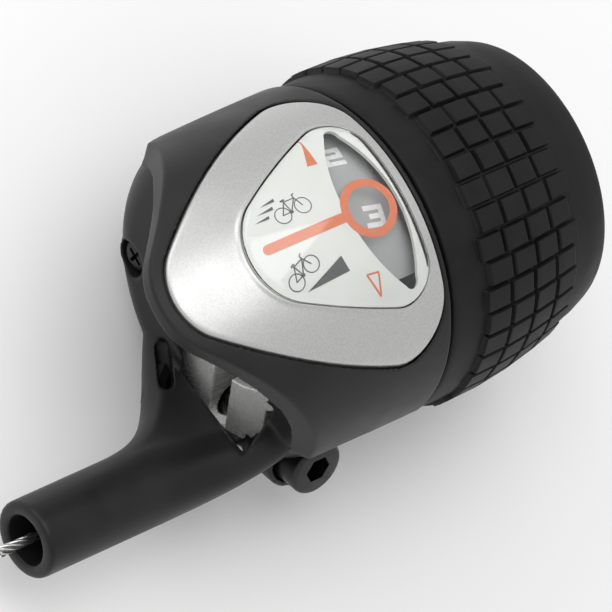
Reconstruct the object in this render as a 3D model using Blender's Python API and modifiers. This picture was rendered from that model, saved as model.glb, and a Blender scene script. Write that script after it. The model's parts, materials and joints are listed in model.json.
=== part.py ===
"""Twist-grip gear shifter for the right end of a 22.2 mm bicycle handlebar, three speeds, with a dial window.

The handlebar runs along X. +X points outboard, towards the bar's end, +Z points out of the dial
window and +Y points forwards. X = 0 is the gap between the fixed housing and the turning grip.
The sizes are in millimetres and become metres where the meshes are made. An angle "psi" goes
round the bar from +Z towards -Y, which is also the way that a positive turn about +X carries it.
"""

import math

import bmesh
import bpy
from mathutils import Matrix, Vector

MM = 0.001
GAP = 0.3  # clearance between pieces that touch

# Handlebar, housing and cover
BAR_BORE_R = 11.15
BAR_CLEAR_R = 11.9
HOUSING_R = 20.5
SAG = 0.0058  # the cover's crown drops by SAG * x squared towards its nose
SEAM_X = -0.35  # outboard edge of the housing and the cover
COVER_WALL = 1.9
SKIRT_DEPTH = 2.6
BODY_END_X = -17.4  # inboard face of the housing
SHELL_IN_R = 18.4

# Outlines in plan: (virtual nose x, half angle, nose radius, outboard x, corner radius, side radius)
COVER_PLAN = (-38.6, 42.0, 9.0, 12.0, 4.0, 400.0)
BEZEL_PLAN = (-41.5, 26.3, 7.2, -1.2, 5.5, 52.0)
LENS_PLAN = (-34.7, 22.8, 7.3, -2.4, 4.2, 60.0)

# Handlebar clamp
CLAMP_X = (-15.2, -7.6)
CLAMP_OUT_R = 13.8
SPLIT_PSI = 147.5
SPLIT_HALF = 1.45
EAR_HALF = 6.2
BOLT_X = -11.4
BOLT_REACH = 17.6  # from the bar's axis to the bolt's axis
BOLT_R = 2.0
NUT_R = 2.9
HEAD_SEAT = 9.6

# Window in the housing's end that shows the clamp: corners as (reach along the split, side)
# on the housing's inboard face, and the direction that the window's walls run in
WINDOW_CORNERS = ((13.5, -4.2), (17.05, 7.4), (7.6, 11.15), (9.25, -4.77))
WINDOW_ALONG = Vector((-0.566, -0.122, 0.815))
WINDOW_X = (-31.0, -15.7)

# Slot in the housing's end: centre (y, z), half length between its round ends, radius and tilt
SLOT_CENTRE = (-1.3, -15.9)
SLOT_HALF = 2.1
SLOT_R = 1.15
SLOT_TILT = 35.0

# Cable outlet, drum and indexing
OUTLET_PSI = 126.0
OUTLET_REACH = 17.36
OUTLET_R = 4.65
OUTLET_BORE_R = 3.05
OUTLET_END_X = -49.3
FERRULE_SEAT_X = -37.3
CABLE_R = 0.6
DRUM_X = -3.1
PITCH_R = 15.4
LEAVE_PSI = 203.0  # where the cable leaves the drum
NIPPLE_PSI = 275.0
GUIDE_BEND_R = 7.5
SPRING_PSI = 245.0
GEAR_STEP = 27.5  # degrees of twist from one gear to the next
FLANGE_R = 16.5
INDEX_R = (13.9, 15.3)
INDEX_X = (-6.9, -5.3)

# Grip
GRIP_START_X = 0.35
GRIP_END_X = 27.1
CORE_IN_R = 12.35
CORE_OUT_R = 14.3
CORE_END_X = 24.0
SLEEVE_R = 12.1
BAND_R = (16.8, 17.7)
BAND_X = (-9.2, -0.9)
BAND_PSI = (-80.0, 27.0)

COLOURS = {
    "black_plastic": ((0.018, 0.018, 0.019), 0.45, 0.0),
    "silver_paint": ((0.56, 0.57, 0.58), 0.35, 0.8),
    "clear_plastic": ((0.9, 0.92, 0.92), 0.05, 0.0),
    "white_plastic": ((0.8, 0.8, 0.78), 0.4, 0.0),
    "grey_plastic": ((0.36, 0.37, 0.38), 0.45, 0.0),
    "steel": ((0.6, 0.6, 0.6), 0.3, 1.0),
    "brass": ((0.6, 0.45, 0.2), 0.35, 1.0),
    "black_steel": ((0.03, 0.03, 0.03), 0.35, 1.0),
    "rubber": ((0.02, 0.02, 0.02), 0.75, 0.0),
    "natural_nylon": ((0.75, 0.74, 0.68), 0.5, 0.0),
}


# ---------------------------------------------------------------- scene and mesh helpers


def clear_scene():
    for obj in list(bpy.data.objects):
        bpy.data.objects.remove(obj, do_unlink=True)


def collection(name):
    group = bpy.data.collections.get(name)
    if group is None:
        group = bpy.data.collections.new(name)
        bpy.context.scene.collection.children.link(group)
    return group


def material(name):
    found = bpy.data.materials.get(name)
    if found is None:
        colour, roughness, metallic = COLOURS[name]
        found = bpy.data.materials.new(name)
        found.use_nodes = True
        shader = found.node_tree.nodes["Principled BSDF"]
        shader.inputs["Base Color"].default_value = (*colour, 1.0)
        shader.inputs["Roughness"].default_value = roughness
        shader.inputs["Metallic"].default_value = metallic
    return found


def place(obj, finish):
    """Put an object among the parts with its finish or, without one, among the cutters."""
    if finish is None:
        collection("cutters").objects.link(obj)
        obj.hide_render = True
        obj.display_type = "WIRE"
    else:
        collection("twist_shifter").objects.link(obj)
        obj.data.materials.append(material(finish))
    return obj


def object_from(name, bm, finish):
    bmesh.ops.scale(bm, vec=(MM, MM, MM), verts=bm.verts)
    bmesh.ops.recalc_face_normals(bm, faces=bm.faces)
    mesh = bpy.data.meshes.new(name)
    bm.to_mesh(mesh)
    bm.free()
    if mesh.polygons:
        mesh.shade_smooth()
        mesh.set_sharp_from_angle(angle=math.radians(35))
    return place(bpy.data.objects.new(name, mesh), finish)


def cut(obj, *tools, operation="DIFFERENCE"):
    for tool in tools:
        boolean = obj.modifiers.new(f"{operation.lower()} {tool.name}", "BOOLEAN")
        boolean.operation = operation
        boolean.solver = "EXACT"
        boolean.object = tool
    return obj


def join(obj, *tools):
    return cut(obj, *tools, operation="UNION")


def keep(obj, *tools):
    return cut(obj, *tools, operation="INTERSECT")


# ---------------------------------------------------------------- places round the bar


def around(psi, reach, x=0.0):
    """The point at this angle and distance from the bar's axis."""
    turn = math.radians(psi)
    return Vector((x, -math.sin(turn) * reach, math.cos(turn) * reach))


def clamp_point(x, reach, side):
    """The point this far along the clamp's split and this far to the bolt head's side of it."""
    return around(SPLIT_PSI, reach, x) + around(SPLIT_PSI - 90.0, side)


def frame_of(*axes):
    """The matrix whose local X, Y and Z point along these three directions."""
    return Matrix(axes).transposed().to_4x4()


def clamp_frame():
    """Local X along the bar, local Y towards the bolt's head, local Z out along the split."""
    return frame_of(Vector((1, 0, 0)), around(SPLIT_PSI - 90.0, 1.0), around(SPLIT_PSI, 1.0))


# ---------------------------------------------------------------- basic shapes


def turned(name, profile, finish=None, steps=48, frame=None):
    """A closed profile of (radius, height) turned about the bar's axis, or about Z of a frame."""
    mesh = bpy.data.meshes.new(name)
    points = [(radius * MM, 0.0, height * MM) for radius, height in profile]
    edges = [(i, (i + 1) % len(points)) for i in range(len(points))]
    mesh.from_pydata(points, edges, [])
    obj = place(bpy.data.objects.new(name, mesh), finish)
    screw = obj.modifiers.new("turn", "SCREW")
    screw.axis = "Z"
    screw.steps = steps
    screw.render_steps = steps
    screw.use_merge_vertices = True
    screw.merge_threshold = 0.00001
    if frame is None:
        obj.rotation_euler = (0.0, math.radians(90), 0.0)
    else:
        obj.matrix_world = frame
    return obj


def rod(name, start, end, radius, finish=None, sides=32):
    start, end = Vector(start), Vector(end)
    along = end - start
    bm = bmesh.new()
    turn = Vector((0, 0, 1)).rotation_difference(along).to_matrix().to_4x4()
    bmesh.ops.create_cone(
        bm,
        cap_ends=True,
        segments=sides,
        radius1=radius,
        radius2=radius,
        depth=along.length,
        matrix=Matrix.Translation((start + end) / 2) @ turn,
    )
    return object_from(name, bm, finish)


def block(name, low, high, finish=None, frame=None):
    """A box between two corners, given in the clamp's frame or another where one is passed."""
    low, high = Vector(low), Vector(high)
    bm = bmesh.new()
    size = high - low
    bmesh.ops.create_cube(bm, size=1.0)
    bmesh.ops.scale(bm, vec=size, verts=bm.verts)
    bmesh.ops.translate(bm, vec=(low + high) / 2, verts=bm.verts)
    if frame is not None:
        bmesh.ops.transform(bm, matrix=frame, verts=bm.verts)
    return object_from(name, bm, finish)


def loft(name, rings, finish=None):
    """Skin a row of rings that have the same number of points, and cap both ends."""
    bm = bmesh.new()
    rows = [[bm.verts.new(point) for point in ring] for ring in rings]
    for row, following in zip(rows, rows[1:]):
        for i, vert in enumerate(row):
            j = (i + 1) % len(row)
            bm.faces.new((vert, row[j], following[j], following[i]))
    bm.faces.new(reversed(rows[0]))
    bm.faces.new(rows[-1])
    return object_from(name, bm, finish)


def prism(name, outline, low, high, finish=None):
    """An outline in plan, as a solid from the height low to the height high."""
    return loft(
        name,
        [[Vector((x, y, z)) for x, y in outline] for z in (low, high)],
        finish,
    )


def arc(centre, radius, start, end, pieces):
    """Points of an arc in plan, the angles in degrees from +X towards +Y."""
    points = []
    for i in range(pieces + 1):
        turn = math.radians(start + (end - start) * i / pieces)
        points.append((centre[0] + radius * math.cos(turn), centre[1] + radius * math.sin(turn)))
    return points


def wedge_outline(plan, inset=0.0):
    """A triangle with round corners and bowed sides: a nose on the -X side, a straight outboard edge."""
    nose_x, half_angle, nose_r, outboard_x, corner_r, side_r = plan
    slope = math.radians(half_angle)
    corner_x = outboard_x - corner_r
    corner = Vector((corner_x, ((corner_x - nose_x) * math.sin(slope) - corner_r) / math.cos(slope)))
    nose = Vector((nose_x + nose_r / math.sin(slope), 0.0))
    apart = nose - corner
    from_corner, from_nose = side_r - corner_r, side_r - nose_r
    along = (from_corner**2 - from_nose**2 + apart.length_squared) / (2 * apart.length)
    across = math.sqrt(from_corner**2 - along**2)
    middle = corner + apart.normalized() * along
    middle += Vector((-apart.y, apart.x)).normalized() * across
    corner_turn = math.degrees(math.atan2(corner.y - middle.y, corner.x - middle.x))
    nose_turn = math.degrees(math.atan2(nose.y - middle.y, nose.x - middle.x))
    upper = arc(corner, corner_r - inset, 0.0, corner_turn, 6)
    upper += arc(middle, side_r - inset, corner_turn, nose_turn, 5)[1:-1]
    nose_arc = arc(nose, nose_r - inset, nose_turn, 360.0 - nose_turn, 8)
    lower = [(x, -y) for x, y in reversed(upper)]
    return upper + nose_arc + lower


def bent_solid(name, offset, low_x=-42.0, high_x=SEAM_X, finish=None):
    """The housing's outer body: a cylinder that bends down towards the nose, grown by offset."""
    sides, stations = 64, 8
    rings = []
    for i in range(stations + 1):
        x = low_x + (high_x - low_x) * i / stations
        drop = Vector((0.0, 0.0, -SAG * min(x, 0.0) ** 2))
        rings.append([around(-360.0 * j / sides, HOUSING_R + offset, x) + drop for j in range(sides)])
    return loft(name, rings, finish)


def swept(name, path, radius, finish=None, resolution=3):
    """A round rod along a path; as a cutter, or where it is cut itself, it becomes a mesh."""
    curve = bpy.data.curves.new(name, "CURVE")
    curve.dimensions = "3D"
    curve.bevel_depth = radius * MM
    curve.bevel_resolution = resolution
    curve.use_fill_caps = True
    spline = curve.splines.new("POLY")
    spline.points.add(len(path) - 1)
    for point, place_at in zip(spline.points, path):
        point.co = (*(Vector(place_at) * MM), 1.0)
    return place(bpy.data.objects.new(name, curve), finish)


def as_mesh(obj, finish=None):
    """Swap a swept curve for the same shape as one welded mesh."""
    name = obj.name
    bpy.context.view_layer.update()
    graph = bpy.context.evaluated_depsgraph_get()
    mesh = bpy.data.meshes.new_from_object(obj.evaluated_get(graph))
    bm = bmesh.new()
    bm.from_mesh(mesh)
    bmesh.ops.remove_doubles(bm, verts=bm.verts, dist=0.000001)
    bmesh.ops.recalc_face_normals(bm, faces=bm.faces)
    bm.to_mesh(mesh)
    bm.free()
    mesh.materials.clear()
    matrix = obj.matrix_world.copy()
    bpy.data.objects.remove(obj, do_unlink=True)
    solid = place(bpy.data.objects.new(name, mesh), finish)
    solid.name = name
    solid.matrix_world = matrix
    return solid


# ---------------------------------------------------------------- cable route


def drum_arc(start_psi, end_psi, pieces):
    return [
        around(start_psi + (end_psi - start_psi) * i / pieces, PITCH_R, DRUM_X)
        for i in range(pieces + 1)
    ]


def guide_route():
    """From the drum, through a quarter bend to the inboard direction, then across to the outlet."""
    leave = around(LEAVE_PSI, PITCH_R, DRUM_X)
    tangent = around(LEAVE_PSI - 90.0, 1.0)
    route = []
    for i in range(9):
        turn = math.radians(90.0 * i / 8)
        route.append(
            leave + tangent * (GUIDE_BEND_R * math.sin(turn)) + Vector((-GUIDE_BEND_R * (1 - math.cos(turn)), 0, 0))
        )
    start = route[-1]
    start_psi = math.degrees(math.atan2(-start.y, start.z))
    start_reach = math.hypot(start.y, start.z)
    cross_start, cross_end = -13.5, -30.5
    run = cross_start - cross_end
    rise = math.radians(start_psi - OUTLET_PSI) * OUTLET_REACH
    bend_r = (run**2 + rise**2) / (4 * rise)
    for i in range(13):
        along = run * i / 12
        if along <= run / 2:
            across = bend_r - math.sqrt(bend_r**2 - along**2)
        else:
            across = rise - bend_r + math.sqrt(bend_r**2 - (run - along) ** 2)
        part = across / rise
        route.append(
            around(
                start_psi + (OUTLET_PSI - start_psi) * part,
                start_reach + (OUTLET_REACH - start_reach) * part,
                cross_start - along,
            )
        )
    return route


def outlet(x):
    return around(OUTLET_PSI, OUTLET_REACH, x)


# ---------------------------------------------------------------- fixed pieces


def flare_ring(x, start_psi, end_psi, reach, half):
    """A bent stadium: an arc round the bar with this half thickness and round ends."""
    ring = []
    for i in range(9):
        ring.append(around(start_psi + (end_psi - start_psi) * i / 8, reach + half, x))
    for sign, psi in ((1.0, end_psi), (-1.0, start_psi)):
        outward = around(psi, 1.0)
        along = around(psi + 90.0, 1.0) * sign
        for i in range(1, 8):
            turn = math.radians(180.0 * i / 8)
            point = around(psi, reach, x) + outward * (half * math.cos(turn) * sign)
            ring.append(point + along * (half * math.sin(turn)))
        if sign > 0:
            for j in range(9):
                psi_back = end_psi + (start_psi - end_psi) * j / 8
                ring.append(around(psi_back, reach - half, x))
    return ring


def outlet_body():
    """The outlet tube and the flare that spreads from it over the housing's end."""
    flare_start, flare_end = -16.6, -36.0
    rings = []
    for i in range(11):
        part = i / 10
        spread = (1.0 - part) ** 2.2
        x = flare_start + (flare_end - flare_start) * part
        rings.append(
            flare_ring(
                x,
                OUTLET_PSI - 20.0 * spread - 0.4,
                OUTLET_PSI + 58.0 * spread + 0.4,
                OUTLET_REACH - 0.75 * spread,
                OUTLET_R - 2.2 * spread,
            )
        )
    for x in (OUTLET_END_X + 0.4, OUTLET_END_X):
        slim = 0.0 if x > OUTLET_END_X else 0.35
        rings.append(flare_ring(x, OUTLET_PSI - 0.4, OUTLET_PSI + 0.4, OUTLET_REACH, OUTLET_R - slim))
    return loft("outlet_body", rings)


def cover_screw_place(x):
    return around(222.0, 16.4, x)


def access_slot():
    """A slot with round ends through the housing's end wall, tilted from the forward direction."""
    outline = arc((SLOT_HALF, 0), SLOT_R, -90, 90, 6) + arc((-SLOT_HALF, 0), SLOT_R, 90, 270, 6)
    tilt = Matrix.Rotation(math.radians(SLOT_TILT), 2)
    turned_outline = [tilt @ Vector(point) + Vector(SLOT_CENTRE) for point in outline]
    return loft("access_slot", [[Vector((x, y, z)) for y, z in turned_outline] for x in (-22.0, -14.0)])


def clamp_window():
    """The window over the clamp's ears, sheared so that its walls run up and inboard."""
    rings = []
    for x in WINDOW_X:
        shift = WINDOW_ALONG * ((x - BODY_END_X) / WINDOW_ALONG.x)
        rings.append([clamp_point(BODY_END_X, reach, side) + shift for reach, side in WINDOW_CORNERS])
    return loft("clamp_window", rings)


def bracket_housing():
    """The rear half of the body, with the cable outlet, the screw boss and the bolt's pad."""
    corner = arc((-14.2, 16.7), 3.2, 90.0, 180.0, 4)
    profile = [(20.3, SEAM_X), (20.3, -6.0)]
    profile += [(y, x) for x, y in corner]
    profile += [(12.2, BODY_END_X), (12.2, BODY_END_X + 1.2), (17.2, BODY_END_X + 1.2)]
    profile += [(SHELL_IN_R, -15.0), (SHELL_IN_R, SEAM_X)]
    housing = turned("bracket_housing", profile, "black_plastic")
    front_half = block("front_half", (-30, -30, -GAP), (10, 30, 30))
    cut(housing, front_half)
    boss = rod("screw_boss", cover_screw_place(-16.4), cover_screw_place(-13.2), 2.4, sides=24)
    pad = rod(
        "bolt_pad",
        clamp_point(BOLT_X, BOLT_REACH, EAR_HALF - 1.0),
        clamp_point(BOLT_X, BOLT_REACH, HEAD_SEAT + 0.8),
        4.5,
    )
    join(housing, outlet_body(), boss, pad)
    ear_room = block(
        "ear_room",
        (CLAMP_X[0] - 0.4, -12.0, 11.6),
        (CLAMP_X[1] + 0.4, EAR_HALF + GAP, 26.0),
        frame=clamp_frame(),
    )
    bolt_room = rod(
        "bolt_room",
        clamp_point(BOLT_X, BOLT_REACH, 0.0),
        clamp_point(BOLT_X, BOLT_REACH, 16.0),
        BOLT_R + GAP,
        sides=24,
    )
    head_room = rod(
        "head_room",
        clamp_point(BOLT_X, BOLT_REACH, HEAD_SEAT - GAP),
        clamp_point(BOLT_X, BOLT_REACH, 18.0),
        3.8,
    )
    screw_recess = rod("screw_recess", cover_screw_place(-19.0), cover_screw_place(-15.8), 2.3, sides=24)
    screw_hole = rod("screw_hole", cover_screw_place(-17.0), cover_screw_place(-12.0), 1.3, sides=16)
    bore = rod("outlet_bore", outlet(OUTLET_END_X - 3.0), outlet(FERRULE_SEAT_X), OUTLET_BORE_R)
    channel = as_mesh(
        swept("cable_channel", guide_route()[6:] + [outlet(FERRULE_SEAT_X - 1.0)], 1.9, resolution=4)
    )
    cut(housing, ear_room, bolt_room, head_room, screw_recess, screw_hole, bore, channel)
    return cut(housing, access_slot(), clamp_window())


def front_cover():
    """The front shell: it hugs the bar's front, ends in a nose and holds the bezel in a pocket."""
    cover = bent_solid("front_cover", 0.0, finish="black_plastic")
    keep(cover, prism("cover_plan", wedge_outline(COVER_PLAN), 0.0, 30.0))
    cavity = bent_solid("cover_cavity", -COVER_WALL, high_x=6.0)
    keep(cavity, prism("cavity_plan", wedge_outline(COVER_PLAN, COVER_WALL), -4.0, 26.0))
    under_nose = bent_solid("under_nose", -SKIRT_DEPTH, high_x=BODY_END_X)
    bar_room = rod("bar_room", (-60, 0, 0), (40, 0, 0), BAR_CLEAR_R, sides=64)
    pocket = bent_solid("bezel_pocket", 1.5, high_x=4.0)
    cut(pocket, bent_solid("pocket_floor", -1.15, low_x=-44.0, high_x=5.0))
    keep(pocket, prism("pocket_plan", wedge_outline(BEZEL_PLAN, -0.2), 3.0, 30.0))
    window = prism("window_plan", wedge_outline(LENS_PLAN, 0.6), 3.0, 30.0)
    cut(cover, cavity, under_nose, bar_room, pocket, window)
    lug_rings = []
    for i in range(9):
        psi = 214.0 + 57.5 * i / 6
        inner, outer = (14.2, 18.1) if psi < 272 else (15.6, 19.2)
        corners = ((inner, -12.8), (outer, -12.8), (outer, -9.8), (inner, -9.8))
        lug_rings.append([around(psi, r, x) for r, x in corners])
    join(cover, loft("screw_lug", lug_rings))
    pilot = rod("lug_pilot", cover_screw_place(-14.0), cover_screw_place(-8.0), 1.3, sides=16)
    cut(cover, pilot)
    return cover


def skin_piece(name, outer, inner, outline, finish):
    """A thin piece that follows the cover's crown between two offsets, cut to an outline."""
    piece = bent_solid(name, outer, high_x=3.0, finish=finish)
    cut(piece, bent_solid(f"{name}_under", inner, low_x=-44.0, high_x=5.0))
    return keep(piece, prism(f"{name}_plan", outline, 4.0, 32.0))


def bezel():
    piece = skin_piece("bezel", 0.05, -0.85, wedge_outline(BEZEL_PLAN), "silver_paint")
    return cut(piece, prism("bezel_opening", wedge_outline(LENS_PLAN), 3.0, 33.0))


def lens():
    return skin_piece("lens", 0.55, -0.2, wedge_outline(LENS_PLAN, GAP / 2), "clear_plastic")


def gear_window():
    """The opening that shows the number band: two shallow arcs that meet in round tips."""
    left = arc((3.95, 0.2), 13.8, 134.5, 225.5, 12)
    right = arc((-32.5, 0.2), 29.6, -18.4, 18.4, 8)
    return left + right


def dial_plate():
    plate = skin_piece("dial_plate", -0.45, -0.95, wedge_outline(LENS_PLAN, GAP), "white_plastic")
    return cut(plate, prism("gear_window", gear_window(), 3.0, 33.0))


def clamp_band():
    low_x, high_x = CLAMP_X
    profile = [(CLAMP_OUT_R, high_x), (CLAMP_OUT_R, low_x), (BAR_BORE_R, low_x), (BAR_BORE_R, high_x)]
    band = turned("clamp_band", profile, "steel")
    frame = clamp_frame()
    ears = block("ear_block", (low_x, -EAR_HALF, 12.0), (high_x, EAR_HALF, BOLT_REACH), frame=frame)
    ear_ends = rod(
        "ear_ends",
        clamp_point(BOLT_X, BOLT_REACH, -EAR_HALF),
        clamp_point(BOLT_X, BOLT_REACH, EAR_HALF),
        (high_x - low_x) / 2,
    )
    join(band, ears, ear_ends)
    split = block("clamp_split", (low_x - 2, -SPLIT_HALF, 6.0), (high_x + 2, SPLIT_HALF, 26.0), frame=frame)
    hole = rod(
        "clamp_hole",
        clamp_point(BOLT_X, BOLT_REACH, -10),
        clamp_point(BOLT_X, BOLT_REACH, 10),
        BOLT_R + GAP,
        sides=24,
    )
    nut_seat = rod(
        "nut_seat",
        clamp_point(BOLT_X, BOLT_REACH, -12.0),
        clamp_point(BOLT_X, BOLT_REACH, -2.8),
        NUT_R + 0.2,
        sides=24,
    )
    return cut(band, split, hole, nut_seat)


def bolt_frame():
    """Local Z along the bolt towards its head, from the middle of the clamp's split."""
    frame = frame_of(around(SPLIT_PSI, 1.0), Vector((1, 0, 0)), around(SPLIT_PSI - 90.0, 1.0))
    frame.translation = clamp_point(BOLT_X, BOLT_REACH, 0.0) * MM
    return frame


def clamp_bolt():
    top, head_r = HEAD_SEAT + 4.0, 3.5
    profile = [
        (0.0, top),
        (head_r - 0.35, top),
        (head_r, top - 0.35),
        (head_r, HEAD_SEAT),
        (BOLT_R, HEAD_SEAT),
        (BOLT_R, -5.9),
        (BOLT_R - 0.5, -6.4),
        (0.0, -6.4),
    ]
    bolt = turned("clamp_bolt", profile, "black_steel", steps=32, frame=bolt_frame())
    socket = rod(
        "hex_socket",
        clamp_point(BOLT_X, BOLT_REACH, top - 2.2),
        clamp_point(BOLT_X, BOLT_REACH, top + 2.0),
        1.5 / math.cos(math.radians(30)),
        sides=6,
    )
    return cut(bolt, socket)


def clamp_nut():
    """A round threaded insert, sunk in the ear that is away from the bolt's head."""
    profile = [(NUT_R, -3.1), (NUT_R, -6.1), (BOLT_R + GAP, -6.1), (BOLT_R + GAP, -3.1)]
    return turned("clamp_nut", profile, "brass", steps=24, frame=bolt_frame())


def bar_sleeve():
    """The fixed tube round the bar that the grip turns on, with a collar and a ring groove."""
    bore_r = BAR_BORE_R + 0.1
    profile = [
        (SLEEVE_R, 26.6),
        (SLEEVE_R, 26.0),
        (11.7, 26.0),
        (11.7, 25.0),
        (SLEEVE_R, 25.0),
        (SLEEVE_R, -6.6),
        (13.6, -6.6),
        (13.6, -7.3),
        (bore_r, -7.3),
        (bore_r, 26.6),
    ]
    return turned("bar_sleeve", profile, "black_plastic")


def retaining_ring():
    rings = []
    for i in range(25):
        psi = 14.0 + 332.0 * i / 24
        rings.append([around(psi, r, x) for r, x in ((11.85, 25.2), (13.6, 25.2), (13.6, 25.8), (11.85, 25.8))])
    return loft("retaining_ring", rings, "steel")


def thrust_washer():
    profile = [(14.0, 24.9), (14.0, 24.3), (12.4, 24.3), (12.4, 24.9)]
    return turned("thrust_washer", profile, "natural_nylon", steps=32)


def index_spring():
    """A leaf that lies along a chord outside the index ring, with a nose that drops in a notch."""
    out = around(SPRING_PSI, 1.0)
    along = around(SPRING_PSI + 90.0, 1.0)
    leaf, thick, nose_half, nose_drop = INDEX_R[1] + 0.45, 0.4, 1.2, 0.75
    half_length = 7.6
    under = [(-half_length, leaf), (-nose_half, leaf)]
    for i in range(1, 6):
        swing = -nose_half + 2 * nose_half * i / 6
        under.append((swing, leaf - nose_drop * math.cos(math.pi * swing / (2 * nose_half))))
    under += [(nose_half, leaf), (half_length, leaf)]
    outline = under + [(t, r + thick) for t, r in reversed(under)]
    rings = [[out * r + along * t + Vector((x, 0, 0)) for t, r in outline] for x in (-6.8, -5.3)]
    return loft("index_spring", rings, "steel")


def cover_screw():
    head = rod("cover_screw", cover_screw_place(-17.2), cover_screw_place(-16.1), 2.0, "black_steel", sides=24)
    shank = rod("screw_shank", cover_screw_place(-16.3), cover_screw_place(-9.4), 1.0, sides=16)
    spot = cover_screw_place(0.0)
    slots = []
    for i, (wide, tall) in enumerate(((2.4, 0.5), (0.5, 2.4))):
        low = (-18.0, spot.y - wide / 2, spot.z - tall / 2)
        high = (-16.7, spot.y + wide / 2, spot.z + tall / 2)
        slots.append(block(f"cross_slot_{i + 1}", low, high))
    join(head, shank)
    return cut(head, *slots)


def cable_guide():
    """The slippery liner that carries the cable from the drum across to the outlet."""
    route = guide_route()[6:]
    liner = as_mesh(swept("cable_guide", route, 1.6, "natural_nylon", resolution=3), "natural_nylon")
    first = route[0] + (route[0] - route[1])
    last = route[-1] + Vector((-1.5, 0, 0))
    bore = as_mesh(swept("guide_bore", [first] + route + [last], CABLE_R + GAP, resolution=3))
    return cut(liner, bore)


# ---------------------------------------------------------------- turning pieces


def grip_core():
    """The hard tube under the rubber, with the cable drum at its inboard end."""
    groove_half, groove_r = 0.95, PITCH_R - CABLE_R - 0.15
    profile = [
        (CORE_OUT_R, CORE_END_X),
        (CORE_OUT_R, -1.3),
        (FLANGE_R, -1.3),
        (FLANGE_R, DRUM_X + groove_half),
        (groove_r, DRUM_X + groove_half * 0.7),
        (groove_r, DRUM_X - groove_half * 0.7),
        (groove_r + 0.3, DRUM_X - groove_half),
        (groove_r + 0.3, INDEX_X[1] + GAP),
        (INDEX_R[0] - GAP, INDEX_X[1] + GAP),
        (INDEX_R[0] - GAP, -6.3),
        (CORE_IN_R, -6.3),
        (CORE_IN_R, CORE_END_X),
    ]
    core = turned("grip_core", profile, "black_plastic")
    pocket = rod("nipple_pocket", around(NIPPLE_PSI, 15.2, -4.6), around(NIPPLE_PSI, 15.2, 0.2), 1.8, sides=16)
    return cut(core, pocket)


def rubber_grip():
    inner = CORE_OUT_R + GAP
    profile = [
        (16.2, GRIP_END_X),
        (16.9, 26.4),
        (17.65, 24.2),
        (18.35, 21.1),
        (18.95, 20.6),
        (19.6, 17.7),
        (20.3, 13.6),
        (20.7, 9.6),
        (20.8, 5.2),
        (20.15, 4.8),
        (20.1, GRIP_START_X),
        (inner, GRIP_START_X),
        (inner, GRIP_END_X),
    ]
    return turned("rubber_grip", profile, "rubber")


def number_band():
    """The curved tongue with the gear numbers, which swings past the dial's window."""
    rings = []
    for i in range(25):
        psi = BAND_PSI[0] + (BAND_PSI[1] - BAND_PSI[0]) * i / 24
        corners = (
            (BAND_R[0], BAND_X[0]),
            (BAND_R[1], BAND_X[0]),
            (BAND_R[1], BAND_X[1]),
            (BAND_R[0], BAND_X[1]),
        )
        rings.append([around(psi, r, x) for r, x in corners])
    return loft("number_band", rings, "grey_plastic")


def index_ring():
    """The notched ring: one notch for each gear."""
    low_x, high_x = INDEX_X
    inner, outer = INDEX_R
    ring = turned("index_ring", [(outer, high_x), (outer, low_x), (inner, low_x), (inner, high_x)], "steel")
    notches = []
    for gear in range(3):
        psi = SPRING_PSI - GEAR_STEP * gear
        ends = around(psi, outer + 0.6, low_x - 1.0), around(psi, outer + 0.6, high_x + 1.0)
        notches.append(rod(f"notch_{gear + 1}", *ends, 1.5, sides=12))
    return cut(ring, *notches)


def cable_nipple():
    return rod("cable_nipple", around(NIPPLE_PSI, 15.2, -4.3), around(NIPPLE_PSI, 15.2, -2.45), 1.45, "steel", sides=20)


def cable_wrap():
    return swept("cable_wrap", drum_arc(LEAVE_PSI + 1.5, NIPPLE_PSI - 7.0, 20), CABLE_R, "steel", resolution=2)


# ---------------------------------------------------------------- cable


def cable_bend():
    return swept("cable_bend", guide_route() + [outlet(-43.7)], CABLE_R, "steel", resolution=2)


def cable_tail():
    return swept("cable_tail", [outlet(-44.0), outlet(-48.5), outlet(-53.0)], CABLE_R, "steel", resolution=2)


def hang_on(pieces, name, spot):
    """Parent pieces that move together to an empty on their joint's axis."""
    axis = bpy.data.objects.new(name, None)
    axis.location = Vector(spot) * MM
    collection("twist_shifter").objects.link(axis)
    bpy.context.view_layer.update()
    for piece in pieces:
        piece.parent = axis
        piece.matrix_parent_inverse = axis.matrix_world.inverted()


def main():
    clear_scene()
    for build in (
        bracket_housing,
        front_cover,
        bezel,
        lens,
        dial_plate,
        clamp_band,
        clamp_bolt,
        clamp_nut,
        bar_sleeve,
        retaining_ring,
        thrust_washer,
        index_spring,
        cover_screw,
        cable_guide,
        cable_bend,
    ):
        build()
    turning = [
        build() for build in (grip_core, rubber_grip, number_band, index_ring, cable_nipple, cable_wrap)
    ]
    hang_on(turning, "grip_axis", (0, 0, 0))
    hang_on([cable_tail()], "cable_axis", outlet(OUTLET_END_X))


main()
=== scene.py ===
"""Looks for the twist-grip gear shifter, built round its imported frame.

Sizes are in millimetres and become metres where meshes are made. X runs along the handlebar with
+X outboard, +Z points out of the dial window and +Y forwards. An angle "psi" goes round the bar
from +Z towards -Y. The fixed pieces ride on the body "housing" and the turning ones on "grip".
"""

import json
import math

import bmesh
import bpy
from mathutils import Matrix, Vector

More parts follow.
